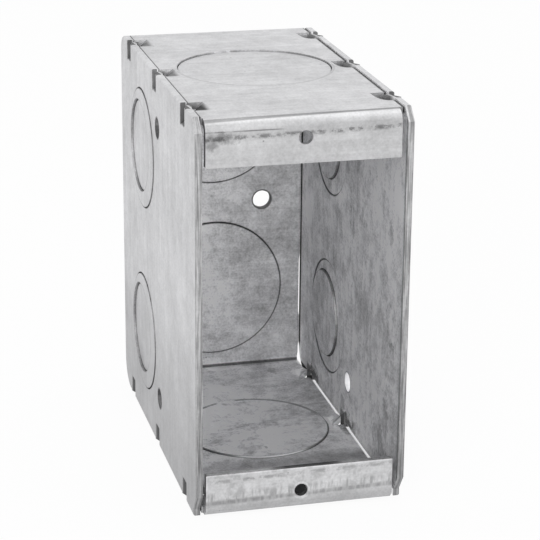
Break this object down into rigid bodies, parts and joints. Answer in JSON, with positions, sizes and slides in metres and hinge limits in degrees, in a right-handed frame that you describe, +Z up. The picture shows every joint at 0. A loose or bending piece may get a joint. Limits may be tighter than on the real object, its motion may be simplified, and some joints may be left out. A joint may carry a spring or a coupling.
{
  "type": "masonry box",
  "caption": "Deep galvanised steel masonry box for one wiring device: a folded strip with device ears, closed by side plates crimped along the corners, with round knockouts.",
  "frame": {"origin": "middle of the footprint, on the surface that the side plates stand on", "axes": "+X to the right seen from the open front, +Y from the open front to the back, +Z up"},
  "size_m": [0.0496, 0.0888, 0.0937],
  "materials": {
    "strip_steel": "galvanised, dull, with rolling streaks and scuffs",
    "plate_steel": "galvanised, dull, with rolling streaks and scuffs"
  },
  "bodies": {
    "root": {"wrap_strip": "strip_steel", "left_side_plate": "plate_steel", "right_side_plate": "plate_steel"}
  },
  "joints": []
}
